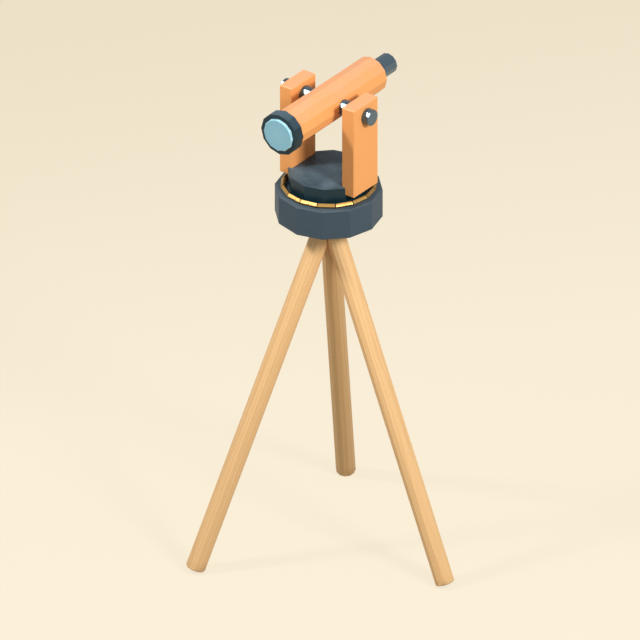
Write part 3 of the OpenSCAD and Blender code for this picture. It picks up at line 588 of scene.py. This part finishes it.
def limbTree(look):
    tree, start, end = newGeometryTree("limbBars", look)
    barRadius, ringRadius = start["Bar Radius"], start["Ring Radius"]
    halfTurn = mathNode(tree, "DIVIDE", math.pi, start["Bar Count"])
    halfGap = mathNode(tree, "DIVIDE", mathNode(tree, "MULTIPLY", start["Joint Gap"], 0.5),
                       mathNode(tree, "COSINE", halfTurn))
    reach = mathNode(tree, "MULTIPLY", ringRadius, mathNode(tree, "TANGENT", halfTurn))
    halfLength = mathNode(tree, "SUBTRACT", reach, halfGap)
    # five points, from -1 to 1, become a tip, a shoulder, the middle, a shoulder and a tip
    line = addNode(tree, "GeometryNodeCurvePrimitiveLine", {"Start": (0, -1, 0), "End": (0, 1, 0)})
    cut = addNode(tree, "GeometryNodeSubdivideCurve", {"Curve": line.outputs["Curve"], "Cuts": 3})
    tipFrom = 0.9
    spot = addNode(tree, "ShaderNodeSeparateXYZ", {
        "Vector": addNode(tree, "GeometryNodeInputPosition").outputs["Position"]})
    along = spot.outputs["Y"]
    isTip = mathNode(tree, "GREATER_THAN", mathNode(tree, "ABSOLUTE", along), tipFrom)
    shoulder = mathNode(tree, "SUBTRACT", halfLength, start["End Round"])
    distance = mathNode(tree, "ADD", shoulder, mathNode(
        tree, "MULTIPLY", isTip, start["End Round"]))
    stretched = mathNode(tree, "MULTIPLY", mathNode(tree, "SIGN", along), distance)
    # the bars' ends carry an attribute, which the brass reads as grime in the joints
    marked = addNode(tree, "GeometryNodeStoreNamedAttribute", {
        "Geometry": cut.outputs["Curve"], "Name": look["endMark"], "Value": isTip},
        data_type="FLOAT", domain="POINT")
    path = addNode(tree, "GeometryNodeSetPosition", {
        "Geometry": marked.outputs["Geometry"], "Position": joinAxes(tree, Y=stretched)})
    shrink = mathNode(tree, "DIVIDE", start["End Round"], barRadius)
    thickness = mathNode(tree, "SUBTRACT", 1.0, mathNode(tree, "MULTIPLY", isTip, shrink))
    path = addNode(tree, "GeometryNodeSetCurveRadius", {
        "Curve": path.outputs["Geometry"], "Radius": thickness})
    # the bar's section is a square that stands on its corner
    side = mathNode(tree, "MULTIPLY", barRadius, math.sqrt(2))
    square = addNode(tree, "GeometryNodeCurvePrimitiveQuadrilateral", {
        "Width": side, "Height": side})
    softened = addNode(tree, "GeometryNodeFilletCurve", {
        "Curve": square.outputs["Curve"], "Radius": start["Corner Round"],
        "Count": look["cornerSteps"]}, mode="POLY")
    diamond = addNode(tree, "GeometryNodeTransform", {
        "Geometry": softened.outputs["Curve"], "Rotation": (0, 0, math.radians(45))})
    bar = addNode(tree, "GeometryNodeCurveToMesh", {
        "Curve": path.outputs["Curve"], "Profile Curve": diamond.outputs["Geometry"],
        "Fill Caps": True})
    # the ends are mitred: a bar is longer on its outer side
    spread = mathNode(tree, "DIVIDE", mathNode(
        tree, "ADD", ringRadius, spot.outputs["X"]), ringRadius)
    mitred = addNode(tree, "GeometryNodeSetPosition", {
        "Geometry": bar.outputs["Mesh"],
        "Position": joinAxes(tree, X=spot.outputs["X"], Z=spot.outputs["Z"],
                            Y=mathNode(tree, "MULTIPLY", along, spread))})
    ring = ringOf(tree, mitred.outputs["Geometry"], start["Bar Count"], halfTurn, ringRadius,
                  start["Middle Height"], materials[look["slot"]])
    tree.links.new(ring, end["Geometry"])
    return tree


boltLook = {
    "replaces": ["head_bolts"], "body": "base", "slot": "bright_steel", "roundSteps": 32,
    "sizes": {
        "Bolt Count": 6, "Circle Radius": 0.050, "Start Turn": math.radians(30),
        "Seat Height": 1.026, "Head Radius": 0.0064, "Head Height": 0.006,
        "Washer Height": 0.001, "Top Share": 0.84,
    },
}


def boltTree(look):
    tree, start, end = newGeometryTree("headBolts", look)
    # three points, at 0, 0.5 and 1, become the seat, the chamfer's start and the far end
    line = addNode(tree, "GeometryNodeCurvePrimitiveLine", {"Start": (0, 0, 0), "End": (0, 0, -1)})
    cut = addNode(tree, "GeometryNodeSubdivideCurve", {"Curve": line.outputs["Curve"], "Cuts": 1})
    topFrom = 0.75
    bend = 1.2  # moves the middle point to 0.8
    spot = addNode(tree, "ShaderNodeSeparateXYZ", {
        "Vector": addNode(tree, "GeometryNodeInputPosition").outputs["Position"]})
    down = mathNode(tree, "ABSOLUTE", spot.outputs["Z"])
    square = mathNode(tree, "MULTIPLY", down, down)
    share = mathNode(tree, "SUBTRACT", mathNode(tree, "MULTIPLY", down, 1.0 + bend),
                     mathNode(tree, "MULTIPLY", square, bend))
    hexHeight = mathNode(tree, "SUBTRACT", start["Head Height"], start["Washer Height"])
    depth = mathNode(tree, "ADD", start["Washer Height"], mathNode(
        tree, "MULTIPLY", share, hexHeight))
    path = addNode(tree, "GeometryNodeSetPosition", {
        "Geometry": cut.outputs["Curve"],
        "Position": joinAxes(tree, Z=mathNode(tree, "MULTIPLY", depth, -1.0))})
    isTop = mathNode(tree, "GREATER_THAN", down, topFrom)
    narrowing = mathNode(tree, "MULTIPLY", isTop, mathNode(
        tree, "SUBTRACT", 1.0, start["Top Share"]))
    path = addNode(tree, "GeometryNodeSetCurveRadius", {
        "Curve": path.outputs["Geometry"], "Radius": mathNode(tree, "SUBTRACT", 1.0, narrowing)})
    outline = addNode(tree, "GeometryNodeCurvePrimitiveCircle", {
        "Resolution": 6, "Radius": start["Head Radius"]})
    head = addNode(tree, "GeometryNodeCurveToMesh", {
        "Curve": path.outputs["Curve"], "Profile Curve": outline.outputs["Curve"],
        "Fill Caps": True})
    disc = addNode(tree, "GeometryNodeMeshCylinder", {
        "Vertices": look["roundSteps"], "Radius": start["Head Radius"],
        "Depth": start["Washer Height"]})
    washer = addNode(tree, "GeometryNodeTransform", {
        "Geometry": disc.outputs["Mesh"],
        "Translation": joinAxes(tree, Z=mathNode(
            tree, "MULTIPLY", start["Washer Height"], -0.5))})
    both = addNode(tree, "GeometryNodeJoinGeometry")
    tree.links.new(head.outputs["Mesh"], both.inputs["Geometry"])
    tree.links.new(washer.outputs["Geometry"], both.inputs["Geometry"])
    ring = ringOf(tree, both.outputs["Geometry"], start["Bolt Count"], start["Start Turn"],
                  start["Circle Radius"], start["Seat Height"], materials[look["slot"]])
    tree.links.new(ring, end["Geometry"])
    return tree


screwLook = {
    "replaces": ["floor_screws"], "body": "base", "slot": "bright_steel", "roundSteps": 32,
    "sizes": {
        "Screw Count": 6, "Circle Radius": 0.1355, "Start Turn": math.radians(15),
        "Face Height": 1.038, "Head Radius": 0.004, "Head Height": 0.003,
        "Slot Width": 0.0011, "Slot Depth": 0.0012,
    },
}


def screwTree(look):
    tree, start, end = newGeometryTree("floorScrews", look)
    disc = addNode(tree, "GeometryNodeMeshCylinder", {
        "Vertices": look["roundSteps"], "Radius": start["Head Radius"],
        "Depth": start["Head Height"]})
    head = addNode(tree, "GeometryNodeTransform", {
        "Geometry": disc.outputs["Mesh"],
        "Translation": joinAxes(tree, Z=mathNode(tree, "MULTIPLY", start["Head Height"], 0.5))})
    # the cutter is sunk by half its depth and sticks out at both ends of the slot
    cutter = addNode(tree, "GeometryNodeMeshCube", {
        "Size": joinAxes(tree, X=mathNode(tree, "MULTIPLY", start["Head Radius"], 3.0),
                        Y=start["Slot Width"],
                        Z=mathNode(tree, "MULTIPLY", start["Slot Depth"], 2.0))})
    slotted = addNode(tree, "GeometryNodeMeshBoolean", {"Mesh 1": head.outputs["Geometry"]},
                      operation="DIFFERENCE", solver="EXACT")
    tree.links.new(cutter.outputs["Mesh"], slotted.inputs["Mesh 2"])
    ring = ringOf(tree, slotted.outputs["Mesh"], start["Screw Count"], start["Start Turn"],
                  start["Circle Radius"], start["Face Height"], materials[look["slot"]])
    tree.links.new(ring, end["Geometry"])
    return tree


for pieceName, look, makeTree in (("limbBars", limbLook, limbTree),
                                  ("headBoltHeads", boltLook, boltTree),
                                  ("floorScrewHeads", screwLook, screwTree)):
    built = bakePiece(makeTree(look), pieceName, look)
    print(pieceName, "baked:", len(built.data.polygons), "faces")


# Studio

studio = {
    "viewTurn": 36.78,  # degrees
    "viewRise": 29.34,
    "aim": (-0.02398, 0.61317),  # across and up in the picture
    "distance": 6.0,
    "frameWidth": 1.76,
    "clipEnd": 100.0,
    "floorHalf": 12.0,
    "floorRoughness": 0.9,
    "floorSpecular": 0.1,
    "floorNear": linear(249, 237, 214),
    "floorFar": linear(240, 228, 202),
    "floorFade": (0.9, 3.0),
    "floorTurn": 20.0,
    "floorDull": 0.33,  # share of its colour that reaches the object as soft light
    "floorGlow": 0.89,
    "worldColour": linear(240, 244, 250),
    "worldLevel": 0.49,
    "lampAim": (0, 0, 0.9),
    "lamps": {
        "keyLamp": {"way": (-0.44, -0.50, 0.74), "distance": 4.0, "size": 0.55, "watts": 97.0},
        "sideLamp": {"way": (0.78, -0.18, 0.60), "distance": 4.0, "size": 1.0, "watts": 122.0},
    },
}


def viewDirections():
    turn = math.radians(studio["viewTurn"])
    rise = math.radians(studio["viewRise"])
    right = Vector((math.cos(turn), math.sin(turn), 0))
    back = Vector((math.sin(turn) * math.cos(rise), -math.cos(turn) * math.cos(rise),
                   math.sin(rise)))
    return right, back.cross(right), back


def addCamera():
    right, up, back = viewDirections()
    data = bpy.data.cameras.new("photoCamera")
    data.type = "ORTHO"
    data.ortho_scale = studio["frameWidth"]
    data.clip_end = studio["clipEnd"]
    camera = bpy.data.objects.new("photoCamera", data)
    camera.location = right * studio["aim"][0] + up * studio["aim"][1] + back * studio["distance"]
    camera.rotation_euler = (-back).to_track_quat("-Z", "Y").to_euler()
    bpy.context.scene.collection.objects.link(camera)
    bpy.context.scene.camera = camera


def addLamp(name, look):
    data = bpy.data.lights.new(name, "AREA")
    data.shape = "DISK"
    data.size = look["size"]
    data.energy = look["watts"]
    lamp = bpy.data.objects.new(name, data)
    way = Vector(look["way"]).normalized()
    lamp.location = Vector(studio["lampAim"]) + way * look["distance"]
    lamp.rotation_euler = (-way).to_track_quat("-Z", "Y").to_euler()
    bpy.context.scene.collection.objects.link(lamp)


def addFloor():
    turn = math.radians(studio["viewTurn"] + studio["floorTurn"])
    behind = (-math.sin(turn), math.cos(turn), 0)
    mesh = bpy.data.meshes.new("floor")
    half = studio["floorHalf"]
    mesh.from_pydata([(-half, -half, 0), (half, -half, 0), (half, half, 0), (-half, half, 0)],
                     [], [(0, 1, 2, 3)])
    floor = bpy.data.objects.new("floor", mesh)
    bpy.context.scene.collection.objects.link(floor)
    material, tree, shader, place = newMaterial("floorPaint", **{
        "Roughness": studio["floorRoughness"], "Specular IOR Level": studio["floorSpecular"]})
    depth = addNode(tree, "ShaderNodeVectorMath", {0: place, 1: behind}, operation="DOT_PRODUCT")
    fade = remap(tree, depth.outputs["Value"], *studio["floorFade"])
    colour = mixColour(tree, fade, studio["floorNear"], studio["floorFar"])
    path = addNode(tree, "ShaderNodeLightPath").outputs
    # the camera, metal and glass see the pale floor; the soft light it throws back stays dull
    seen = mathNode(tree, "MAXIMUM", path["Is Camera Ray"], mathNode(
        tree, "MAXIMUM", path["Is Glossy Ray"], path["Is Transmission Ray"]))
    dull = mixColour(tree, studio["floorDull"], (0, 0, 0, 1), colour)
    tree.links.new(mixColour(tree, seen, dull, colour), shader.inputs["Base Color"])
    glow = addNode(tree, "ShaderNodeEmission", {"Color": colour})
    share = mathNode(tree, "MULTIPLY", seen, studio["floorGlow"])
    both = addNode(tree, "ShaderNodeMixShader", {
        0: share, 1: shader.outputs["BSDF"], 2: glow.outputs["Emission"]})
    tree.links.new(both.outputs["Shader"], tree.nodes["Material Output"].inputs["Surface"])
    mesh.materials.append(material)


def addWorld():
    world = bpy.data.worlds.new("studioWorld")
    world.use_nodes = True
    background = world.node_tree.nodes["Background"]
    background.inputs["Color"].default_value = studio["worldColour"]
    background.inputs["Strength"].default_value = studio["worldLevel"]
    bpy.context.scene.world = world


addCamera()
for lampName, lampLook in studio["lamps"].items():
    addLamp(lampName, lampLook)
addFloor()
addWorld()
bpy.context.scene.view_settings.view_transform = "Standard"
print("studio ready")
